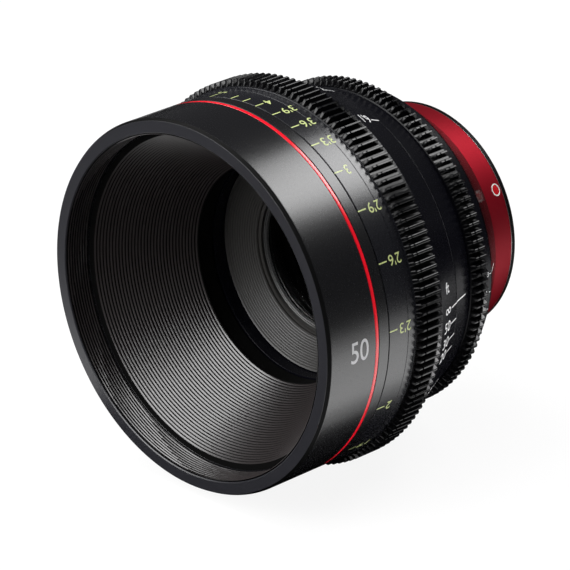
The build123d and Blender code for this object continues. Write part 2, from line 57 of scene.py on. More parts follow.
# The optical axis is Y and the front of the lens faces -Y. A station is a distance in front of
# the camera flange, and an angle is turned from +X towards +Z. Lengths are in metres.
MM = 0.001
ROUND = 360
FIXED = "lens_body"
FOCUS = "focus_ring"
GROUP = "front_group"
IRIS = "iris_ring"

# Edges and small gaps
EDGE = 0.18 * MM
HAIR = 0.03 * MM
SUPPORT_SHARE = 0.3
SHORTEST_SIDE = 1e-9
FLATTEST_CORNER = 14.0
PROUD = 0.02 * MM
FACE_GAP = 0.3 * MM

# Angles, in degrees, up to which a piece is shaded smooth
SHARP = 32.0
SHARP_TEETH = 28.0
SHARP_CELL = 40.0
SHARP_RIBS = 50.0
SHARP_DOME = 60.0

# Front barrel: thread and face
THREAD_PITCH = 1.0 * MM
THREAD_DEPTH = 0.55 * MM
THREAD_RELIEF = 0.7 * MM
THREAD_WALL = 4.5 * MM
THREAD_ROWS = 10
THREAD_FLAT = 0.12
THREAD_FLANK = 0.76
# Share of each turn that keeps the lighter material; the rest of the thread is painted shade
THREAD_CREST_SHARE = 0.27
BARREL_WALL = 6.9 * MM
SEAT_SHOULDER = 0.6 * MM
FACE_INNER_EDGE = 0.18 * MM
MOUTH_CHAMFER = 0.28 * MM
CHAMFER_DEPTH = 1.2 * MM
CHAMFER_HEIGHT = 0.65 * MM
LINE_GROOVE = 0.12 * MM
LINE_DEPTH = 0.8 * MM
FOCAL_HEIGHT = 6.4 * MM
FOCAL_ANGLE = 0.35
FOCAL_STATION = 89.0 * MM

# Hood
HOOD_RIBS = 33
HOOD_RIB_DEPTH = 0.26 * MM
HOOD_WALL = 1.2 * MM
LIP_WIDTH = 1.95 * MM
LIP_THICKNESS = 1.3 * MM
THROAT_RADIUS = 33.9 * MM
THROAT_STEP = 0.9 * MM
THROAT_DEPTH = 27.8 * MM

# Front cell and its trim ring
CELL_RIBS = 13
CELL_RIB_DEPTH = 0.12 * MM
CELL_EDGE = 0.25 * MM
CELL_RIM = 0.7 * MM
CELL_RIM_SETBACK = 0.1 * MM
CELL_CONE_END = 1.2 * MM
CELL_CONE_RISE = 0.5 * MM
CELL_LAND = 1.1 * MM
CELL_LOW_RADIUS = 24.1 * MM
CELL_LOW_STATION = 47.9 * MM
CELL_WALL = 4.5 * MM
CELL_LEDGE = 45.7 * MM
TRIM_EDGE = 0.08 * MM
TRIM_SECTION = ((1.4, 0.5), (1.1, 0.0), (0.75, 0.0), (0.65, 0.35), (0.5, 0.0), (0.0, 0.0))

# One rib, as (share of its length, share of its depth), and the points where its light faces start; its other
# faces get painted shade
RIB_SHARES = (
    (0.04, 1.0), (0.16, 1.0), (0.28, 0.55), (0.46, 0.18), (0.64, 0.0), (0.70, 0.25), (0.74, 1.0),
)
RIB_CREST = (1, 2, 3)

# Teeth
FOCUS_TEETH = 146
IRIS_TEETH = 126
TOOTH_HEIGHT = 1.8 * MM
TOOTH_FOOT = 1.0 * MM
NOTCH_PLACE = 1.5 * MM
NOTCH_WIDTH = 0.55 * MM
NOTCH_FLOOR_SHARE = 0.4
TIP_LAND_SHARE = 0.26
ROOT_LAND_SHARE = 0.26
FLANK_HEIGHT = 0.55
SHOULDER_WIDTH = 1.15
SHOULDER_HEIGHT = 0.94
CROWN_WIDTH = 0.7
END_HEIGHT = 0.02
BEND_PLACE = 0.75
BEND_HEIGHT = 0.88

# Focus ring bands
FINE_LINE_STATION = 69.0 * MM
FINE_LINE_WIDTH = 0.16 * MM
RIDGE_BEVEL = 0.6 * MM
RIDGE_DROP = 4.15 * MM
CONE_SLOPE_SHARE = 0.42
FOCUS_GEAR_FRONT = 22.15 * MM
FOCUS_GEAR_REAR = 12.25 * MM
FOCUS_BORE = 50.05 * MM
BEVEL_MARGIN = 0.05

# Main barrel and index cone
MAIN_RADIUS = 50.0 * MM
MAIN_WALL = 3 * MM
MAIN_STEP = 57.5 * MM
MAIN_CLEARANCE = 0.05 * MM
NECK_RADIUS = 44.0 * MM
CONE_STEP = 0.7 * MM
CONE_REAR_RADIUS = 48.9 * MM
FOCUS_INDEX_END = 37.5 * MM

# Iris ring
IRIS_BORE = 44.05 * MM
IRIS_NOSE = 48.7 * MM
IRIS_NOSE_SLOPE = 0.5 * MM
IRIS_GEAR_WIDTH = 6.2 * MM
SKIRT_FRONT = 48.4 * MM
SKIRT_STEP = 0.1 * MM
SKIRT_REAR = 47.6 * MM
SKIRT_CHAMFER = 0.3 * MM

# Rear cone
REAR_CONE_FRONT = 23.1 * MM
REAR_CONE_RADIUS = 38.5 * MM
IRIS_ROOM = 32.0 * MM
IRIS_FLOOR = 25.0 * MM
REAR_BORE = 24.0 * MM
STOP_INDEX_END = 17.6 * MM

# Mount ring, and the rim of the bayonet plate
MOUNT_LEDGE = 7.8 * MM
MOUNT_BORE = 30.0 * MM
RIM_WALL = 1.2 * MM
RIM_SLOPE = 0.3 * MM

# Mounting dot
DOT_ANGLE = 30.4
DOT_SETBACK = 2.65 * MM
DOT_RADIUS = 1.55 * MM
RIM_RADIUS = 1.95 * MM
DOT_RISE = 0.24 * MM
DOT_STEPS = 48
DOT_RINGS = (0, 0.2, 0.4, 0.6, 0.8, 1)
RIM_EDGE_SHARE = 0.6

# Scales: distance in feet, and its angle from infinity round the ring
DISTANCES = {
    "50": 5.4, "30": 10.9, "20": 15.7, "15": 30.0, "12": 48.0, "10": 66.0, "8": 91.0, "7": 106.0,
    "6": 123.0, "5": 143.7, "4'6": 152.6, "4'3": 157.6, "4": 162.9, "3'9": 169.9, "3'6": 177.8,
    "3'3": 186.6, "3": 197.6, "2'9": 210.7, "2'6": 226.9, "2'3": 247.3, "2": 273.8, "1'9": 294.0,
}
BARE_DISTANCES = ("4'6", "4'3")
GREEN_INFINITY = 250.0
WHITE_INFINITY = 0.75
STOPS = ("1.3", "2", "2.8", "4", "5.6", "8", "11", "16", "22")
STOP_STEP = 7.1
STOP_INDEX_ANGLE = 2.75
STOP_FIGURE = 1.5 * MM
STOP_PLACE = 2.7 * MM
STOP_TICK = (1.3 * MM, 0.4 * MM)
STOP_TICK_WIDTH = 0.2 * MM
LINE_WIDTH = 0.4 * MM
WHITE_FIGURE = 3.3 * MM
WHITE_NARROW = 0.9
WHITE_TICK = 4.3 * MM
WHITE_TICK_END = 0.4 * MM
WHITE_PLACE = 4.8 * MM
FEET_ANGLE = 7.2
FEET_SHIFT = 0.9 * MM
GREEN_FIGURE = 3.1 * MM
GREEN_NARROW = 0.95
GREEN_TICK = 3.2 * MM
GREEN_TICK_WIDTH = 0.42 * MM
GREEN_PLACE = 3.9 * MM
INDEX_OFFSET = 0.2

# Figures: their weight, the height of a capital as a share of the size, and the strips they bend in
FIGURE_WEIGHT = 0.006
CAPITAL_SHARE = 0.69
FIGURE_NARROW = 0.82
STRIP = 0.6 * MM

# Camera, set to the photograph
AZIMUTH = 44.95
ELEVATION = 23.31
DISTANCE = 1.3
TARGET = Vector((-10.95, -50.85, -11.17)) * MM
FOCAL_LENGTH = 274.0
SENSOR = 36.0

# Lamps: name, direction from the target, distance, size and radiance
SOFTBOXES = (
    ("top_softbox", (0.20, 0.65, 0.73), 0.62, (0.34, 0.22), 11.5),
    ("overhead_strip", (-0.06, -0.17, 0.77), 0.80, (1.30, 0.28), 5.0),
    ("front_softbox", (-0.24, -0.82, 0.47), 0.90, (0.70, 0.70), 9.0),
    ("left_softbox", (-0.66, -0.26, 0.70), 0.90, (0.36, 0.36), 7.0),
)
CARD_X = 122 * MM
CARD_Y = -5 * MM
CARD_LIFT = 1 * MM
CARD_SIZE = (0.095, 0.13)
CARD_RADIANCE = 1.6

# Black cards that only reflections see, painted shade on the floor as the lens mirrors it: name, and two
# corners in millimetres
SHADE_CARDS = (
    ("shade_under", (-70, -160), (62, 200)),
    ("shade_right", (260, -900), (2400, 200)),
    ("shade_behind", (-2400, 200), (2400, 2400)),
    ("shade_front", (-600, -1500), (260, -160)),
)
SHADE_CARD_DROP = 0.1 * MM

# Floor: its size and place, and how much of its white is its own, seen straight and in a reflection
FLOOR_HALF = 6.0
FLOOR_DROP = 0.2 * MM
FLOOR_COLOR = (0.92, 0.92, 0.92)
FLOOR_ROUGHNESS = 0.9
FLOOR_GLOW = 0.9
FLOOR_GLOW_MIRRORED = 0.2
WORLD_COLOR = (0.05, 0.05, 0.053)

# Patterns of the materials: scales in cells to the metre, spreads as shares of a value
NOISE_RANGE = (0.3, 0.7)
SPECKLE_DETAIL = 3.0
TURNING_DETAIL = 2.0
BLASTED_GRAIN = 9000.0
BLASTED_RELIEF = 0.0007 * MM
BLASTED_ROUGHNESS = (2500.0, 0.98, 1.02)
BLASTED_COLOR = (1500.0, 0.93, 1.07)
TURNED_GRAIN = 6000.0
TURNED_RELIEF = 0.006 * MM
TURNED_ROUGHNESS = (0.7, 1.3)
TURNED_COLOR = (40.0, 0.88, 1.1)
ENAMEL_GRAIN = 1800.0
ENAMEL_RELIEF = 0.01 * MM
ENAMEL_DARK = 0.82
DUST_GRAIN = 900.0
DUST_ROUGHNESS = 0.03
GLASS_IOR = 1.52


def front(node):
    """Station of a CAD node's front end."""
    return -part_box(node)[0].y


def rear(node):
    """Station of a CAD node's rear end."""
    return -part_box(node)[1].y


def reach(node):
    """Largest radius of a CAD node."""
    low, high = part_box(node)
    return max(high.x, -low.x)


def around(radius, angle, station):
    """Point at a radius and angle round the axis, at a station."""
    turn = math.radians(angle)
    return Vector((radius * math.cos(turn), -station, radius * math.sin(turn)))


# Materials


def shader(name, color, roughness, metallic=0.0, **sockets):
    """A new material and its Principled shader, with constants on the shader's own sockets."""
    made = bpy.data.materials.new(name)
    made.use_nodes = True
    made.diffuse_color = (*color, 1)
    surface = made.node_tree.nodes["Principled BSDF"]
    surface.inputs["Base Color"].default_value = (*color, 1)
    surface.inputs["Roughness"].default_value = roughness
    surface.inputs["Metallic"].default_value = metallic
    for socket, value in sockets.items():
        surface.inputs[socket.replace("_", " ").title().replace("Ior", "IOR")].default_value = value
    return made, surface


def add(tree, kind, **values):
    """A new node with its properties and unlinked inputs set."""
    node = tree.nodes.new(kind)
    for key, value in values.items():
        if hasattr(node, key):
            setattr(node, key, value)
        else:
            node.inputs[key.replace("_", " ").title()].default_value = value
    return node


def speckle(tree, scale):
    """Noise in the object's own space."""
    place = add(tree, "ShaderNodeTexCoord")
    noise = add(tree, "ShaderNodeTexNoise", scale=scale, detail=SPECKLE_DETAIL)
    tree.links.new(place.outputs["Object"], noise.inputs["Vector"])
    return noise.outputs["Fac"]


def turning(tree, scale):
    """Noise that only changes along the axis and outwards, as turning marks do."""
    place = add(tree, "ShaderNodeTexCoord")
    split = add(tree, "ShaderNodeSeparateXYZ")
    outwards = add(tree, "ShaderNodeCombineXYZ")
    length = add(tree, "ShaderNodeVectorMath", operation="LENGTH")
    joined = add(tree, "ShaderNodeCombineXYZ")
    noise = add(tree, "ShaderNodeTexNoise", scale=scale, detail=TURNING_DETAIL)
    tree.links.new(place.outputs["Object"], split.inputs["Vector"])
    tree.links.new(split.outputs["X"], outwards.inputs["X"])
    tree.links.new(split.outputs["Z"], outwards.inputs["Z"])
    tree.links.new(outwards.outputs["Vector"], length.inputs[0])
    tree.links.new(length.outputs["Value"], joined.inputs["X"])
    tree.links.new(split.outputs["Y"], joined.inputs["Y"])
    tree.links.new(joined.outputs["Vector"], noise.inputs["Vector"])
    return noise.outputs["Fac"]


def vary(made, surface, source, socket, low, high):
    """Links a socket to a pattern, spread between two values."""
    tree = made.node_tree
    if isinstance(low, tuple):
        spread = add(tree, "ShaderNodeMix", data_type="RGBA")
        colors = [entry for entry in spread.inputs if entry.type == "RGBA"]
        colors[0].default_value = (*low, 1)
        colors[1].default_value = (*high, 1)
        tree.links.new(source, spread.inputs["Factor"])
        result = next(entry for entry in spread.outputs if entry.type == "RGBA")
    else:
        start, end = NOISE_RANGE
        spread = add(tree, "ShaderNodeMapRange", to_min=low, to_max=high, from_min=start, from_max=end)
        tree.links.new(source, spread.inputs["Value"])
        result = spread.outputs["Result"]
    tree.links.new(result, surface.inputs[socket])


def scaled(color, share):
    """A colour made darker or lighter."""
    return tuple(channel * share for channel in color)


def bump(made, surface, source, height):
    """Raises a pattern as a fine relief, its height in metres."""
    tree = made.node_tree
    relief = add(tree, "ShaderNodeBump", strength=1.0, distance=height)
    tree.links.new(source, relief.inputs["Height"])
    tree.links.new(relief.outputs["Normal"], surface.inputs["Normal"])


def anodised(name, color, roughness, metallic=0.0, **sockets):
    """Bead-blasted and anodised metal: a fine even grain."""
    made, surface = shader(name, color, roughness, metallic, **sockets)
    tree = made.node_tree
    scale, low, high = BLASTED_ROUGHNESS
    vary(made, surface, speckle(tree, scale), "Roughness", roughness * low, roughness * high)
    scale, low, high = BLASTED_COLOR
    vary(made, surface, speckle(tree, scale), "Base Color", scaled(color, low), scaled(color, high))
    bump(made, surface, speckle(tree, BLASTED_GRAIN), BLASTED_RELIEF)
    return made


def turned(name, color, roughness, metallic):
    """Bare or dyed metal as it comes off the lathe, with fine rings."""
    made, surface = shader(name, color, roughness, metallic)
    tree = made.node_tree
    rings = turning(tree, TURNED_GRAIN)
    low, high = TURNED_ROUGHNESS
    vary(made, surface, rings, "Roughness", roughness * low, roughness * high)
    scale, low, high = TURNED_COLOR
    vary(made, surface, speckle(tree, scale), "Base Color", scaled(color, low), scaled(color, high))
    bump(made, surface, rings, TURNED_RELIEF)
    return made


def enamel(name, color, roughness=0.3):
    """Paint filled into an engraving, slightly uneven."""
    made, surface = shader(name, color, roughness)
    tree = made.node_tree
    flecks = speckle(tree, ENAMEL_GRAIN)
    vary(made, surface, flecks, "Base Color", scaled(color, ENAMEL_DARK), color)
    bump(made, surface, flecks, ENAMEL_RELIEF)
    return made


def optical(name, tint):
    """Clear glass with a faint film of dust."""
    made, surface = shader(name, tint, 0.0, transmission_weight=1.0, ior=GLASS_IOR)
    vary(made, surface, speckle(made.node_tree, DUST_GRAIN), "Roughness", 0.0, DUST_ROUGHNESS)
    return made


BARREL = anodised("barrel_black", (0.0045, 0.0045, 0.0052), 0.27)
RING = anodised("ring_black", (0.005, 0.0052, 0.007), 0.27)
TOOTH = anodised("gear_black", (0.002, 0.002, 0.0024), 0.20, specular_ior_level=0.2)
INDEX = anodised("index_black", (0.002, 0.002, 0.0035), 0.27, specular_ior_level=0.11)
CONE = anodised("cone_black", (0.002, 0.002, 0.0022), 0.16, specular_ior_level=0.2)
FACE = anodised("face_black", (0.010, 0.010, 0.0125), 0.32)
BAFFLE = anodised("baffle_black", (0.011, 0.0085, 0.0085), 0.28, specular_ior_level=0.7)
DULL = anodised("inner_grey", (0.018, 0.017, 0.016), 0.40, specular_ior_level=0.36)
# Near-black paint of the dark inner parts; the same material is laid as painted shade in the hood's rib
# valleys and the filter thread's roots
BLACK_AND_SHADE = anodised("black_paint_and_painted_shade", (0.002, 0.002, 0.002), 0.5, specular_ior_level=0.05)
RED_LINE = enamel("red_line", (0.72, 0.006, 0.018), 0.18)
RED_METAL = anodised("red_anodised", (0.25, 0.0015, 0.010), 0.50, 0.9)
DOT_RED = enamel("dot_red", (0.42, 0.008, 0.012), 0.10)
TRIM = turned("trim_grey", (0.16, 0.16, 0.16), 0.3, 0.9)
# Painted highlight: a lighter grey for the focus ring's ridge bevel, standing in for the thin line of light
# along its edge
RIDGE_HIGHLIGHT = anodised("ridge_painted_highlight", (0.13, 0.13, 0.14), 0.4)
BRIGHT = turned("bright_trim", (0.72, 0.72, 0.73), 0.22, 1.0)
STEEL = turned("mount_steel", (0.56, 0.56, 0.57), 0.28, 1.0)
BLADE = turned("blade_steel", (0.05, 0.05, 0.055), 0.4, 0.7)
BRASS = turned("brass", (0.62, 0.45, 0.18), 0.3, 1.0)
GLASS = optical("optical_glass", (0.93, 0.96, 0.95))
RIM_WHITE = enamel("rim_white", (0.62, 0.60, 0.58), 0.25)
GREEN = enamel("green_paint", (0.44, 0.50, 0.20), 0.4)
SILVER = enamel("silver_paint", (0.42, 0.42, 0.43), 0.35)
WHITE = enamel("white_paint", (0.82, 0.82, 0.82), 0.4)


# Meshes


def make(name, points, faces, material, body, replaces=(), sharp=SHARP):
    """A mesh piece that rides on a body, shaded smooth up to an angle."""
    mesh = bpy.data.meshes.new(name)
    mesh.from_pydata(points, [], faces)
    mesh.update()
    mesh.polygons.foreach_set("use_smooth", [True] * len(mesh.polygons))
    mesh.set_sharp_from_angle(angle=math.radians(sharp))
    mesh.materials.append(material)
    piece = bpy.data.objects.new(name, mesh)
    bpy.context.scene.collection.objects.link(piece)
    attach(piece, body)
    if replaces:
        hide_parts(*replaces)
    return piece


def paint(piece, material, chosen):
    """Gives the chosen faces of a piece another material."""
    slot = len(piece.data.materials)
    piece.data.materials.append(material)
    for index in chosen:
        piece.data.polygons[index].material_index = slot


def eased(profile, size=EDGE):
    """The profile with each corner rounded by a short curve, and a point beside it that keeps flats flat."""
    result = []
    count = len(profile)
    for index in range(count):
        before = Vector(profile[index - 1])
        corner = Vector(profile[index])
        after = Vector(profile[(index + 1) % count])
        back = before - corner
        on = after - corner
        short = min(back.length, on.length) < SHORTEST_SIDE
        if short or back.angle(-on) < math.radians(FLATTEST_CORNER):
            result.append(tuple(corner))
            continue
        reach_here = min(size, back.length / 3, on.length / 3)
        start = corner + back.normalized() * reach_here
        end = corner + on.normalized() * reach_here
        result.append(tuple(start + (start - corner) * SUPPORT_SHARE))
        for share in (0, 1 / 3, 2 / 3, 1):
            point = start * (1 - share) ** 2 + corner * 2 * share * (1 - share) + end * share**2
            result.append(tuple(point))
        result.append(tuple(end + (end - corner) * SUPPORT_SHARE))
    return result


def lathe(name, profile, material, body, replaces=(), sharp=SHARP):
    """A turned piece: a profile of (radius, station) points swept round the axis."""
    points = []
    faces = []
    count = len(profile)
    for step in range(ROUND):
        angle = 360 * step / ROUND
        points.extend(around(radius, angle, station) for radius, station in profile)
    for step in range(ROUND):
        here = step * count
        there = (step + 1) % ROUND * count
        for index in range(count):
            after = (index + 1) % count
            faces.append((here + index, there + index, there + after, here + after))
    area = sum(
        profile[i][0] * profile[(i + 1) % count][1] - profile[(i + 1) % count][0] * profile[i][1]
        for i in range(count)
    )
    if area < 0:
        faces = [face[::-1] for face in faces]
    return make(name, points, faces, material, body, replaces, sharp)


def ribbed(start, end, ribs, depth):
    """Points of ribs between two (radius, station) places, each with a rounded flank and a step."""
    start = Vector(start)
    end = Vector(end)
    along = end - start
    outwards = Vector((-along.y, along.x)).normalized()
    if outwards.x < 0:
        outwards = -outwards
    points = []
    for rib in range(ribs):
        for share, drop in RIB_SHARES:
            place = start + along * ((rib + share) / ribs) + outwards * depth * drop
            points.append(tuple(place))
    points.append(tuple(end))
    return points


def teeth(name, count, tip, slices, material, body, inner):
    """A toothed band. Each slice is (station, share of the tooth's height)."""
    root = tip - TOOTH_HEIGHT
    pitch = 360 / count
    tip_half = pitch * TIP_LAND_SHARE / 2
    root_half = pitch * (1 - ROOT_LAND_SHARE) / 2
    flank = (
        (root_half, 0.0), ((root_half + tip_half) / 2, FLANK_HEIGHT),
        (tip_half * SHOULDER_WIDTH, SHOULDER_HEIGHT), (tip_half * CROWN_WIDTH, 1.0),
    )
    outline = [(-angle, share) for angle, share in flank] + list(reversed(flank))
    points = []
    for station, height in slices:
        for tooth in range(count):
            for angle, share in outline:
                radius = root + TOOTH_HEIGHT * min(share, height)
                points.append(around(radius, tooth * pitch + angle, station))
    around_count = count * len(outline)
    for station in (slices[-1][0], slices[0][0]):
        for tooth in range(count):
            for angle, share in outline:
                points.append(around(inner, tooth * pitch + angle, station))
    rows = len(slices) + 2
    faces = []
    for row in range(rows):
        below = row * around_count
        above = (row + 1) % rows * around_count
        for index in range(around_count):
            after = (index + 1) % around_count
            faces.append((below + index, below + after, above + after, above + index))
    if slices[0][0] < slices[-1][0]:
        faces = [face[::-1] for face in faces]
    return make(name, points, faces, material, body, sharp=SHARP_TEETH)


def tooth_slices(front_station, rear_station):
    """Chamfered ends and the narrow notch near the front of a toothed band."""
    notch = front_station - TOOTH_FOOT - NOTCH_PLACE
    slope = NOTCH_WIDTH / 4
    return (
        (front_station, END_HEIGHT),
        (front_station - TOOTH_FOOT * BEND_PLACE, BEND_HEIGHT),
        (front_station - TOOTH_FOOT, 1.0),
        (notch + NOTCH_WIDTH / 2, 1.0),
        (notch + NOTCH_WIDTH / 2 - slope, NOTCH_FLOOR_SHARE),
        (notch - NOTCH_WIDTH / 2 + slope, NOTCH_FLOOR_SHARE),
        (notch - NOTCH_WIDTH / 2, 1.0),
        (rear_station + TOOTH_FOOT, 1.0),
        (rear_station + TOOTH_FOOT * BEND_PLACE, BEND_HEIGHT),
        (rear_station, END_HEIGHT),
    )


# Marks that follow a turned surface


def on_surface(surface, angle, station):
    """Point just proud of a surface given as ((radius, station), (radius, station))."""
    (radius_a, station_a), (radius_b, station_b) = surface
    share = (station - station_a) / (station_b - station_a)
    radius = radius_a + (radius_b - radius_a) * share
    return around(radius + PROUD, angle, station)


def lay(mesh, surface, angle, station, flip):
    """Bends a flat mesh onto a turned surface; its x reads to the rear, or to the front if flipped."""
    sense = -1 if flip else 1
    middle = (surface[0][0] + surface[1][0]) / 2
    for vertex in mesh.vertices:
        along = vertex.co.x * sense
        up = vertex.co.y * sense
        turn = angle + math.degrees(up / middle)
        vertex.co = on_surface(surface, turn, station - along)


def flat_mesh(name, outline_mesh, step):
    """Cuts a flat mesh into strips narrow enough to follow the curve."""
    work = bmesh.new()
    work.from_mesh(outline_mesh)
    low = min(vertex.co.y for vertex in work.verts)
    high = max(vertex.co.y for vertex in work.verts)
    cuts = int((high - low) / step)
    for cut in range(1, cuts + 1):
        bmesh.ops.bisect_plane(
            work,
            geom=work.verts[:] + work.edges[:] + work.faces[:],
            plane_co=(0, low + (high - low) * cut / (cuts + 1), 0),
            plane_no=(0, 1, 0),
        )
    mesh = bpy.data.meshes.new(name)
    work.to_mesh(mesh)
    work.free()
    return mesh


def join_marks(name, meshes, material, body):
    """Joins laid marks of one colour into one piece."""
    work = bmesh.new()
    for mesh in meshes:
        work.from_mesh(mesh)
    joined = bpy.data.meshes.new(name)
    work.to_mesh(joined)
    work.free()
    joined.materials.append(material)
    piece = bpy.data.objects.new(name, joined)
    bpy.context.scene.collection.objects.link(piece)
    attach(piece, body)
    return piece


def figure(text, height, surface, angle, station, flip=False, narrow=FIGURE_NARROW, align="RIGHT"):
    """A number laid on a turned surface, its end or its middle at a station."""
    curve = bpy.data.curves.new("figure_" + text, "FONT")
    curve.body = text
    curve.size = height / CAPITAL_SHARE
    curve.align_x = align
    curve.align_y = "CENTER"
    curve.offset = height * FIGURE_WEIGHT
    holder = bpy.data.objects.new("figure", curve)
    bpy.context.scene.collection.objects.link(holder)
    bpy.context.view_layer.update()
    flat = bpy.data.meshes.new_from_object(holder.evaluated_get(bpy.context.evaluated_depsgraph_get()))
    bpy.data.objects.remove(holder)
    for vertex in flat.vertices:
        vertex.co.x *= narrow
    mesh = flat_mesh("figure_" + text, flat, STRIP)
    lay(mesh, surface, angle, station, flip)
    return mesh


def stroke(surface, angle, front_station, rear_station, width):
    """A straight line along the axis on a turned surface."""
    half = width / 2
    length = front_station - rear_station
    flat = bpy.data.meshes.new("stroke")
    corners = [(-length / 2, -half, 0), (length / 2, -half, 0), (length / 2, half, 0), (-length / 2, half, 0)]
    flat.from_pydata(corners, [], [(0, 1, 2, 3)])
    lay(flat, surface, angle, (front_station + rear_station) / 2, False)
    return flat


# Front barrel


def front_barrel():
    """Outer shell with the filter thread, the pale face and the dark chamfer."""
    outer = reach("front_barrel")
    front_station = front("front_barrel")
    rear_station = rear("front_barrel")
    nose = front("main_barrel")
    mouth = front("front_baffle")
    bore = outer - THREAD_WALL
    seat = bore - SEAT_SHOULDER
    line_front = front("red_line_ring") + LINE_GROOVE
    line_rear = rear("red_line_ring") - LINE_GROOVE
    shell = lathe("front_barrel_shell", eased([
        (bore + FACE_INNER_EDGE + HAIR, front_station - CHAMFER_DEPTH),
        (outer - CHAMFER_HEIGHT, front_station - PROUD),
        (outer, front_station - CHAMFER_DEPTH),
        (outer, line_front),
        (outer - LINE_DEPTH, line_front),
        (outer - LINE_DEPTH, line_rear),
        (outer, line_rear),
        (outer, rear_station),
        (outer - BARREL_WALL, rear_station),
        (outer - BARREL_WALL, nose),
        (seat, nose),
        (seat, mouth - HAIR),
        (bore + FACE_INNER_EDGE + HAIR, mouth - HAIR),
    ]), BARREL, FIXED, replaces=("front_barrel",))
    chamfer = [
        face.index for face in shell.data.polygons
        if -face.center.y > front_station - CHAMFER_DEPTH and face.center.xz.length > outer - CHAMFER_HEIGHT
    ]
    paint(shell, BLACK_AND_SHADE, chamfer)
    lathe("front_face", eased([
        (bore + FACE_INNER_EDGE, front_station - CHAMFER_DEPTH / 2),
        (bore + FACE_INNER_EDGE, front_station - MOUTH_CHAMFER),
        (bore + FACE_INNER_EDGE + MOUTH_CHAMFER, front_station),
        (outer - CHAMFER_HEIGHT, front_station),
        (outer - CHAMFER_HEIGHT, front_station - CHAMFER_DEPTH / 2),
    ], EDGE / 3), FACE, FIXED)
    filter_thread(bore, front_station, mouth)
    surface = ((outer, front_station), (outer, line_front))
    mark = figure("50", FOCAL_HEIGHT, surface, FOCAL_ANGLE, FOCAL_STATION, align="CENTER")
    join_marks("focal_length", [mark], SILVER, FIXED)


def filter_thread(bore, front_station, mouth):
    """The helical filter thread, as a surface between the face and the hood's lip, with painted shade in its
    roots and rear flanks.
    """
    rows = int((front_station - mouth - THREAD_RELIEF) / THREAD_PITCH * THREAD_ROWS)
    root = bore + FACE_INNER_EDGE
    points = []
    faces = []
    shaded_turns_and_relief = []
    top = front_station - FACE_INNER_EDGE
    bottom = mouth + THREAD_RELIEF
    for row in range(rows + 1):
        station = top + (bottom - top) * row / rows
        for column in range(ROUND):
            phase = (station / THREAD_PITCH + column / ROUND) % 1.0
            height = 1 - abs(2 * phase - 1)
            sharpness = min(max((height - THREAD_FLAT) / THREAD_FLANK, 0), 1)
            radius = root - THREAD_DEPTH * (1 - sharpness)
            points.append(around(radius, 360 * column / ROUND, station))
    for station in (bottom - HAIR, mouth):
        for column in range(ROUND):
            points.append(around(root, 360 * column / ROUND, station))
    for row in range(rows + 2):
        for column in range(ROUND):
            after = (column + 1) % ROUND
            phase = (top + (bottom - top) * row / rows) / THREAD_PITCH + column / ROUND
            if row >= rows or phase % 1.0 > THREAD_CREST_SHARE:
                shaded_turns_and_relief.append(len(faces))
            faces.append((
                row * ROUND + column, row * ROUND + after,
                (row + 1) * ROUND + after, (row + 1) * ROUND + column,
            ))
    # Painted shade: all of each turn but the crest and the front flank beside it takes the near-black
    # material, and so does the plain band behind the thread
    paint(make("filter_thread", points, faces, BAFFLE, FIXED, sharp=SHARP_RIBS), BLACK_AND_SHADE, shaded_turns_and_relief)


def hood():
    """Ribbed baffle: flat lip, ribs on a cone and the smooth bore behind them, the rib valleys painted
    near-black as shade.
    """
    node = "front_baffle"
    mouth = front(node)
    tail = rear(node)
    outer = reach(node)
    mouth_radius = outer - LIP_WIDTH
    bore_radius = THROAT_RADIUS + THROAT_STEP
    throat = mouth - THROAT_DEPTH
    profile = [(outer, mouth - LIP_THICKNESS), (outer, mouth)]
    first_rib = len(profile)
    profile += ribbed((mouth_radius, mouth), (THROAT_RADIUS, throat), HOOD_RIBS, HOOD_RIB_DEPTH)
    profile += [
        (bore_radius, throat),
        (bore_radius, tail),
        (bore_radius + HOOD_WALL, tail),
        (bore_radius + HOOD_WALL, throat),
        (mouth_radius + HOOD_WALL, mouth - LIP_THICKNESS),
    ]
    hood_piece = lathe("ribbed_hood", profile, BAFFLE, FIXED, replaces=(node,), sharp=SHARP_RIBS)
    rib_points = HOOD_RIBS * len(RIB_SHARES)
    shade_and_bore_faces = []
    for index in range(1, len(profile)):
        place = index - first_rib
        if not 0 <= place < rib_points or place % len(RIB_SHARES) not in RIB_CREST:
            shade_and_bore_faces.append(index)
    # Painted shade: the rib valleys and steep flanks take the near-black material; the lip's front, the
    # smooth bore and the walls behind the ribs take the same black
    paint(hood_piece, BLACK_AND_SHADE, [step * len(profile) + index for step in range(ROUND) for index in shade_and_bore_faces])


def red_line():
    """Red enamel over the ring, filling its groove level with the barrel and slightly crowned."""
    node = "red_line_ring"
    crown = reach("front_barrel") - HAIR
    low = crown - LINE_DEPTH
    middle = (front(node) + rear(node)) / 2
    lathe("red_line", eased([
        (low, front(node)), (crown - PROUD, front(node)), (crown, middle),
        (crown - PROUD, rear(node)), (low, rear(node)),
    ]), RED_LINE, FIXED, replaces=(node,))


# Focus ring


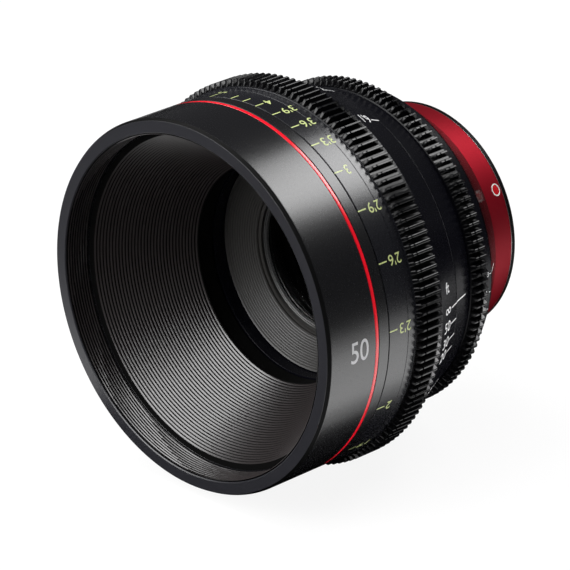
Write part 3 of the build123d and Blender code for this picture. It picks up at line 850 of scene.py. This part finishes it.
def focus_ring():
    """Scale bands with the toothed band between them."""
    node = "focus_ring"
    band = reach("front_barrel")
    tip = reach(node)
    front_station = front(node)
    rear_station = rear(node)
    gear_front = rear_station + FOCUS_GEAR_FRONT
    gear_rear = rear_station + FOCUS_GEAR_REAR
    root = tip - TOOTH_HEIGHT
    ridge = band - RIDGE_DROP
    ridge_station = rear_station + RIDGE_BEVEL
    cone_station = ridge_station + (root - HAIR - ridge) / CONE_SLOPE_SHARE
    groove = FINE_LINE_WIDTH / 2
    bands = lathe("focus_bands", eased([
        (FOCUS_BORE, front_station),
        (band, front_station),
        (band, FINE_LINE_STATION + groove),
        (band - FINE_LINE_WIDTH, FINE_LINE_STATION),
        (band, FINE_LINE_STATION - groove),
        (band, gear_front),
        (root - HAIR, gear_front),
        (root - HAIR, gear_rear),
        (root - HAIR, cone_station),
        (ridge, ridge_station),
        (ridge - RIDGE_BEVEL, rear_station),
        (FOCUS_BORE, rear_station),
    ]), RING, FOCUS, replaces=(node,))
    bevel_low = rear_station + RIDGE_BEVEL * BEVEL_MARGIN
    bevel_high = ridge_station - RIDGE_BEVEL * BEVEL_MARGIN
    bevel = [
        face.index for face in bands.data.polygons
        if bevel_low < -face.center.y < bevel_high and face.center.xz.length > ridge - RIDGE_BEVEL
    ]
    # The bevel faces take the lighter grey: a painted highlight along the ridge
    paint(bands, RIDGE_HIGHLIGHT, bevel)
    cone = [face.index for face in bands.data.polygons if bevel_high < -face.center.y < gear_rear]
    paint(bands, INDEX, cone)
    slices = tooth_slices(gear_front, gear_rear)
    teeth("focus_teeth", FOCUS_TEETH, tip, slices, TOOTH, FOCUS, root - 2 * HAIR)
    band_surface = ((band, front_station), (band, gear_front))
    cone_surface = ((root - HAIR, cone_station), (ridge, ridge_station))
    green = []
    white = []
    for label, offset in list(DISTANCES.items()) + [("∞", 0.0)]:
        green_angle = GREEN_INFINITY - offset
        white_angle = WHITE_INFINITY - offset
        green.append(stroke(
            band_surface, green_angle, front_station, front_station - GREEN_TICK, GREEN_TICK_WIDTH,
        ))
        white.append(stroke(
            cone_surface, white_angle, rear_station + WHITE_TICK, rear_station + WHITE_TICK_END, LINE_WIDTH,
        ))
        if label not in BARE_DISTANCES:
            green.append(figure(
                label, GREEN_FIGURE, band_surface, green_angle, front_station - GREEN_PLACE,
                True, GREEN_NARROW,
            ))
            white.append(figure(
                label, WHITE_FIGURE, cone_surface, white_angle, rear_station + WHITE_PLACE,
                False, WHITE_NARROW,
            ))
    feet_station = rear_station + WHITE_PLACE + FEET_SHIFT
    white.append(figure("ft", WHITE_FIGURE, cone_surface, WHITE_INFINITY + FEET_ANGLE, feet_station))
    join_marks("green_scale", green, GREEN, FOCUS)
    join_marks("white_scale", white, WHITE, FOCUS)


# Fixed pieces behind the focus ring


def index_cone():
    """Main barrel: bore for the front group, and the index cone between the two rings."""
    node = "main_barrel"
    cone_front = rear("focus_ring") - FACE_GAP
    cone_front_radius = reach("front_barrel") - RIDGE_DROP - CONE_STEP
    cone_rear = rear(node)
    bore = reach("front_cell") + MAIN_CLEARANCE
    rear_front = front("rear_barrel")
    lathe("index_cone", eased([
        (MAIN_RADIUS - MAIN_WALL, front(node)),
        (MAIN_RADIUS, front(node)),
        (MAIN_RADIUS, cone_front),
        (cone_front_radius, cone_front),
        (CONE_REAR_RADIUS, cone_rear),
        (NECK_RADIUS, cone_rear),
        (NECK_RADIUS, rear_front),
        (bore, rear_front),
        (bore, MAIN_STEP),
        (MAIN_RADIUS - MAIN_WALL, MAIN_STEP),
    ]), INDEX, FIXED, replaces=(node,))
    surface = ((cone_front_radius, cone_front), (CONE_REAR_RADIUS, cone_rear))
    mark = stroke(surface, WHITE_INFINITY - INDEX_OFFSET, cone_front, FOCUS_INDEX_END, LINE_WIDTH)
    join_marks("focus_index", [mark], WHITE, FIXED)


def front_cell():
    """Sliding cell with fine rings on its cone, and the trim ring round the front element."""
    node = "front_cell"
    outer = reach(node)
    wall = outer - CELL_WALL
    profile = [(outer, rear(node)), (outer, front(node) - CELL_EDGE), (outer - CELL_EDGE, front(node))]
    profile += ribbed(
        (outer - CELL_RIM, front(node) - CELL_RIM_SETBACK),
        (CELL_LOW_RADIUS + CELL_CONE_END, CELL_LOW_STATION + CELL_CONE_RISE),
        CELL_RIBS, CELL_RIB_DEPTH,
    )
    profile += [
        (CELL_LOW_RADIUS + CELL_LAND, CELL_LOW_STATION),
        (CELL_LOW_RADIUS, CELL_LOW_STATION),
        (CELL_LOW_RADIUS, CELL_LEDGE),
        (wall, CELL_LEDGE),
        (wall, rear(node)),
    ]
    lathe("front_cell_cone", profile, DULL, GROUP, replaces=(node,), sharp=SHARP_CELL)
    node = "front_trim_ring"
    outer = reach(node)
    section = [(outer - depth * MM, front(node) - setback * MM) for depth, setback in TRIM_SECTION]
    section = [(section[0][0], rear(node))] + section + [(outer, rear(node))]
    lathe("front_trim", eased(section, TRIM_EDGE), TRIM, GROUP, replaces=(node,))


def iris_ring():
    """Toothed iris ring with the stop scale on its skirt."""
    node = "iris_ring"
    tip = reach(node)
    front_station = front(node)
    rear_station = rear(node)
    root = tip - TOOTH_HEIGHT
    gear_rear = front_station - IRIS_GEAR_WIDTH
    lathe("iris_skirt", eased([
        (IRIS_BORE, front_station),
        (IRIS_NOSE, front_station),
        (root - HAIR, front_station - IRIS_NOSE_SLOPE),
        (root - HAIR, gear_rear),
        (SKIRT_FRONT, gear_rear - SKIRT_STEP),
        (SKIRT_REAR, rear_station + SKIRT_CHAMFER),
        (SKIRT_REAR - SKIRT_CHAMFER, rear_station),
        (IRIS_BORE, rear_station),
    ]), INDEX, IRIS, replaces=(node,))
    slices = tooth_slices(front_station, gear_rear)
    teeth("iris_teeth", IRIS_TEETH, tip, slices, TOOTH, IRIS, root - 2 * HAIR)
    surface = ((SKIRT_FRONT, gear_rear), (SKIRT_REAR, rear_station + SKIRT_CHAMFER))
    tick_front, tick_rear = STOP_TICK
    marks = []
    for side in (0, 180):
        for place, label in enumerate(STOPS):
            angle = side + STOP_INDEX_ANGLE - STOP_STEP * place
            marks.append(figure(
                label, STOP_FIGURE, surface, angle, rear_station + STOP_PLACE, align="CENTER",
            ))
            marks.append(stroke(
                surface, angle, rear_station + tick_front, rear_station + tick_rear, STOP_TICK_WIDTH,
            ))
    join_marks("stop_scale", marks, WHITE, IRIS)


def rear_barrel():
    """Glossy black cone behind the iris ring, with the stop index."""
    node = "rear_barrel"
    outer = reach(node)
    cone_rear = rear(node)
    ledge = reach("mount_ring") - MOUNT_LEDGE
    mount_front = front("mount_ring")
    lathe("rear_cone", eased([
        (IRIS_ROOM, front(node)),
        (NECK_RADIUS, front(node)),
        (NECK_RADIUS, REAR_CONE_FRONT),
        (outer, REAR_CONE_FRONT),
        (REAR_CONE_RADIUS, mount_front),
        (ledge, mount_front),
        (ledge, cone_rear),
        (REAR_BORE, cone_rear),
        (REAR_BORE, IRIS_FLOOR),
        (IRIS_ROOM, IRIS_FLOOR),
    ]), CONE, FIXED, replaces=(node,))
    surface = ((outer, REAR_CONE_FRONT), (REAR_CONE_RADIUS, mount_front))
    mark = stroke(surface, STOP_INDEX_ANGLE, REAR_CONE_FRONT, STOP_INDEX_END, LINE_WIDTH)
    join_marks("stop_index", [mark], WHITE, FIXED)


def mount():
    """Red mount ring and the black rim of the plate behind it."""
    node = "mount_ring"
    plate = reach("bayonet_mount")
    lathe("red_mount_ring", eased([
        (MOUNT_BORE, front(node)), (reach(node), front(node)), (plate, rear(node)), (MOUNT_BORE, rear(node)),
    ]), RED_METAL, FIXED, replaces=(node,))
    lathe("plate_rim", eased([
        (plate - RIM_WALL, rear(node) - HAIR),
        (plate - HAIR, rear(node) - HAIR),
        (plate - HAIR, RIM_SLOPE),
        (plate - RIM_SLOPE, 0),
        (plate - RIM_WALL, 0),
    ]), BLACK_AND_SHADE, FIXED)


def index_dot():
    """The domed mounting dot and the pale rim round it, square to the red ring's slope."""
    node = "mount_ring"
    rear_radius = reach("bayonet_mount")
    slope = math.atan2(reach(node) - rear_radius, front(node) - rear(node))
    radius = rear_radius + DOT_SETBACK * math.tan(slope)
    place = around(radius, DOT_ANGLE, rear(node) + DOT_SETBACK)
    outwards = around(math.cos(slope), DOT_ANGLE, -math.sin(slope))
    turn = outwards.to_track_quat("Z", "X")
    dome = [(DOT_RADIUS * share, DOT_RISE * (1 - share**2)) for share in DOT_RINGS]
    rim_rise = DOT_RISE / 2
    rim_edge = rim_rise * RIM_EDGE_SHARE
    rim = [
        (DOT_RADIUS, -rim_rise), (DOT_RADIUS, rim_edge), (DOT_RADIUS + EDGE / 2, rim_rise),
        (RIM_RADIUS - EDGE / 2, rim_rise), (RIM_RADIUS, rim_edge), (RIM_RADIUS, -rim_rise),
    ]
    for name, profile, material, replaced in (
        ("dot_dome", dome, DOT_RED, "index_dot"), ("dot_rim", rim, RIM_WHITE, "index_dot_rim"),
    ):
        points = []
        faces = []
        for step in range(DOT_STEPS):
            angle = 2 * math.pi * step / DOT_STEPS
            for across, rise in profile:
                offset = Vector((across * math.cos(angle), across * math.sin(angle), rise))
                points.append(place + turn @ offset)
        for step in range(DOT_STEPS):
            here = step * len(profile)
            there = (step + 1) % DOT_STEPS * len(profile)
            for row in range(len(profile) - 1):
                faces.append((here + row, there + row, there + row + 1, here + row + 1)[::-1])
        make(name, points, faces, material, FIXED, (replaced,), sharp=SHARP_DOME)


# Camera, light and floor


def studio():
    """Camera at the photograph's place, soft lamps and a pale floor."""
    camera_data = bpy.data.cameras.new("camera")
    camera_data.lens = FOCAL_LENGTH
    camera_data.sensor_width = SENSOR
    camera = bpy.data.objects.new("camera", camera_data)
    bpy.context.scene.collection.objects.link(camera)
    turn = math.radians(AZIMUTH)
    rise = math.radians(ELEVATION)
    back = Vector((math.sin(turn) * math.cos(rise), -math.cos(turn) * math.cos(rise), math.sin(rise)))
    camera.location = TARGET + back * DISTANCE
    camera.rotation_euler = back.to_track_quat("Z", "Y").to_euler()
    bpy.context.scene.camera = camera

    for name, direction, distance, size, radiance in SOFTBOXES:
        softbox(name, TARGET, direction, distance, size, radiance)
    low_card()
    # Painted shade: black cards on the floor that only reflections see
    for name, low, high in SHADE_CARDS:
        shade_card(name, low, high)

    world = bpy.data.worlds.new("studio")
    bpy.context.scene.world = world
    world.use_nodes = True
    tree = world.node_tree
    dim = tree.nodes["Background"]
    dim.inputs["Color"].default_value = (*WORLD_COLOR, 1)
    backdrop = add(tree, "ShaderNodeBackground", strength=1.0)
    backdrop.inputs["Color"].default_value = (1, 1, 1, 1)
    path = add(tree, "ShaderNodeLightPath")
    seen = add(tree, "ShaderNodeMath", operation="MAXIMUM")
    mix = add(tree, "ShaderNodeMixShader")
    tree.links.new(path.outputs["Is Camera Ray"], seen.inputs[0])
    tree.links.new(path.outputs["Is Transmission Ray"], seen.inputs[1])
    tree.links.new(seen.outputs[0], mix.inputs["Fac"])
    tree.links.new(dim.outputs["Background"], mix.inputs[1])
    tree.links.new(backdrop.outputs["Background"], mix.inputs[2])
    tree.links.new(mix.outputs["Shader"], tree.nodes["World Output"].inputs["Surface"])
    floor()


def softbox(name, target, direction, distance, size, radiance):
    """An area lamp that faces a place, its brightness given as radiance."""
    lamp = bpy.data.lights.new(name, "AREA")
    lamp.shape = "RECTANGLE"
    lamp.size, lamp.size_y = size
    lamp.energy = radiance * math.pi * size[0] * size[1]
    holder = bpy.data.objects.new(name, lamp)
    bpy.context.scene.collection.objects.link(holder)
    way = Vector(direction).normalized()
    holder.location = target + way * distance
    holder.rotation_euler = way.to_track_quat("Z", "Y").to_euler()
    holder.visible_camera = False


def low_card():
    """A lit card lying beside the lens, just above the floor."""
    place = Vector((CARD_X, CARD_Y, cad_box[0].z + CARD_LIFT))
    softbox("low_card", place, (0, 0, -1), 0, CARD_SIZE, CARD_RADIANCE)
    bpy.data.objects["low_card"].rotation_euler = (math.pi, 0, 0)


def flat_card(name, low, high, level):
    """A level rectangle between two corners."""
    mesh = bpy.data.meshes.new(name)
    corners = [(low[0], low[1]), (high[0], low[1]), (high[0], high[1]), (low[0], high[1])]
    mesh.from_pydata([(x, y, level) for x, y in corners], [], [(0, 1, 2, 3)])
    return mesh


def shade_card(name, low, high):
    """A black card flat over the floor that only reflections see: painted shade on the floor as the lens
    mirrors it.
    """
    corners = [(x * MM, y * MM) for x, y in (low, high)]
    mesh = flat_card(name, *corners, cad_box[0].z - SHADE_CARD_DROP)
    made, _ = shader("reflected_shade_black", (0.0, 0.0, 0.0), 1.0, specular_ior_level=0.0)
    mesh.materials.append(made)
    piece = bpy.data.objects.new(name, mesh)
    bpy.context.scene.collection.objects.link(piece)
    piece.visible_camera = False
    piece.visible_diffuse = False
    piece.visible_shadow = False
    piece.visible_transmission = False


def floor():
    """A pale floor that the camera sees near white, with the lens's shadow kept."""
    corners = ((-FLOOR_HALF, -FLOOR_HALF), (FLOOR_HALF, FLOOR_HALF))
    mesh = flat_card("floor", *corners, cad_box[0].z - FLOOR_DROP)
    made, surface = shader("floor_white", FLOOR_COLOR, FLOOR_ROUGHNESS)
    tree = made.node_tree
    path = add(tree, "ShaderNodeLightPath")
    seen = add(tree, "ShaderNodeMath", operation="MAXIMUM")
    seen_through = add(tree, "ShaderNodeMath", operation="MAXIMUM")
    weight = add(tree, "ShaderNodeMath", operation="MULTIPLY")
    weight.inputs[1].default_value = FLOOR_GLOW
    mirrored = add(tree, "ShaderNodeMath", operation="MULTIPLY")
    mirrored.inputs[1].default_value = FLOOR_GLOW_MIRRORED
    glow = add(tree, "ShaderNodeEmission", strength=1.0)
    glow.inputs["Color"].default_value = (1, 1, 1, 1)
    mix = add(tree, "ShaderNodeMixShader")
    output = tree.nodes["Material Output"]
    tree.links.new(path.outputs["Is Camera Ray"], seen.inputs[0])
    tree.links.new(path.outputs["Is Transmission Ray"], seen.inputs[1])
    tree.links.new(seen.outputs[0], weight.inputs[0])
    tree.links.new(path.outputs["Is Glossy Ray"], mirrored.inputs[0])
    tree.links.new(weight.outputs[0], seen_through.inputs[0])
    tree.links.new(mirrored.outputs[0], seen_through.inputs[1])
    tree.links.new(seen_through.outputs[0], mix.inputs["Fac"])
    tree.links.new(surface.outputs["BSDF"], mix.inputs[1])
    tree.links.new(glow.outputs["Emission"], mix.inputs[2])
    tree.links.new(mix.outputs["Shader"], output.inputs["Surface"])
    mesh.materials.append(made)
    piece = bpy.data.objects.new("floor", mesh)
    bpy.context.scene.collection.objects.link(piece)


def dress(node, material):
    """Gives a CAD node its material."""
    mesh = nodes[node].data
    mesh.materials.clear()
    mesh.materials.append(material)


for node, material in {
    "main_barrel": BARREL, "cam_follower": BRASS, "front_cell": DULL, "front_glass": GLASS,
    "front_trim_ring": BRIGHT, "front_lock_ring": BLACK_AND_SHADE, "rear_barrel": CONE, "iris_ring": TOOTH,
    "iris_drive_pin": STEEL, "iris_plate": BLACK_AND_SHADE, "iris_cam_ring": BRASS, "iris_cover": BLACK_AND_SHADE,
    "rear_cell": BLACK_AND_SHADE, "rear_glass": GLASS, "rear_lock_ring": BLACK_AND_SHADE, "mount_ring": RED_METAL,
    "bayonet_mount": STEEL, "mount_screws": STEEL,
}.items():
    dress(node, material)
for node in nodes:
    if node.startswith("iris_blade"):
        dress(node, BLADE)

bpy.context.scene.view_settings.view_transform = "Standard"
studio()
front_barrel()
red_line()
hood()
focus_ring()
index_cone()
front_cell()
iris_ring()
rear_barrel()
mount()
index_dot()
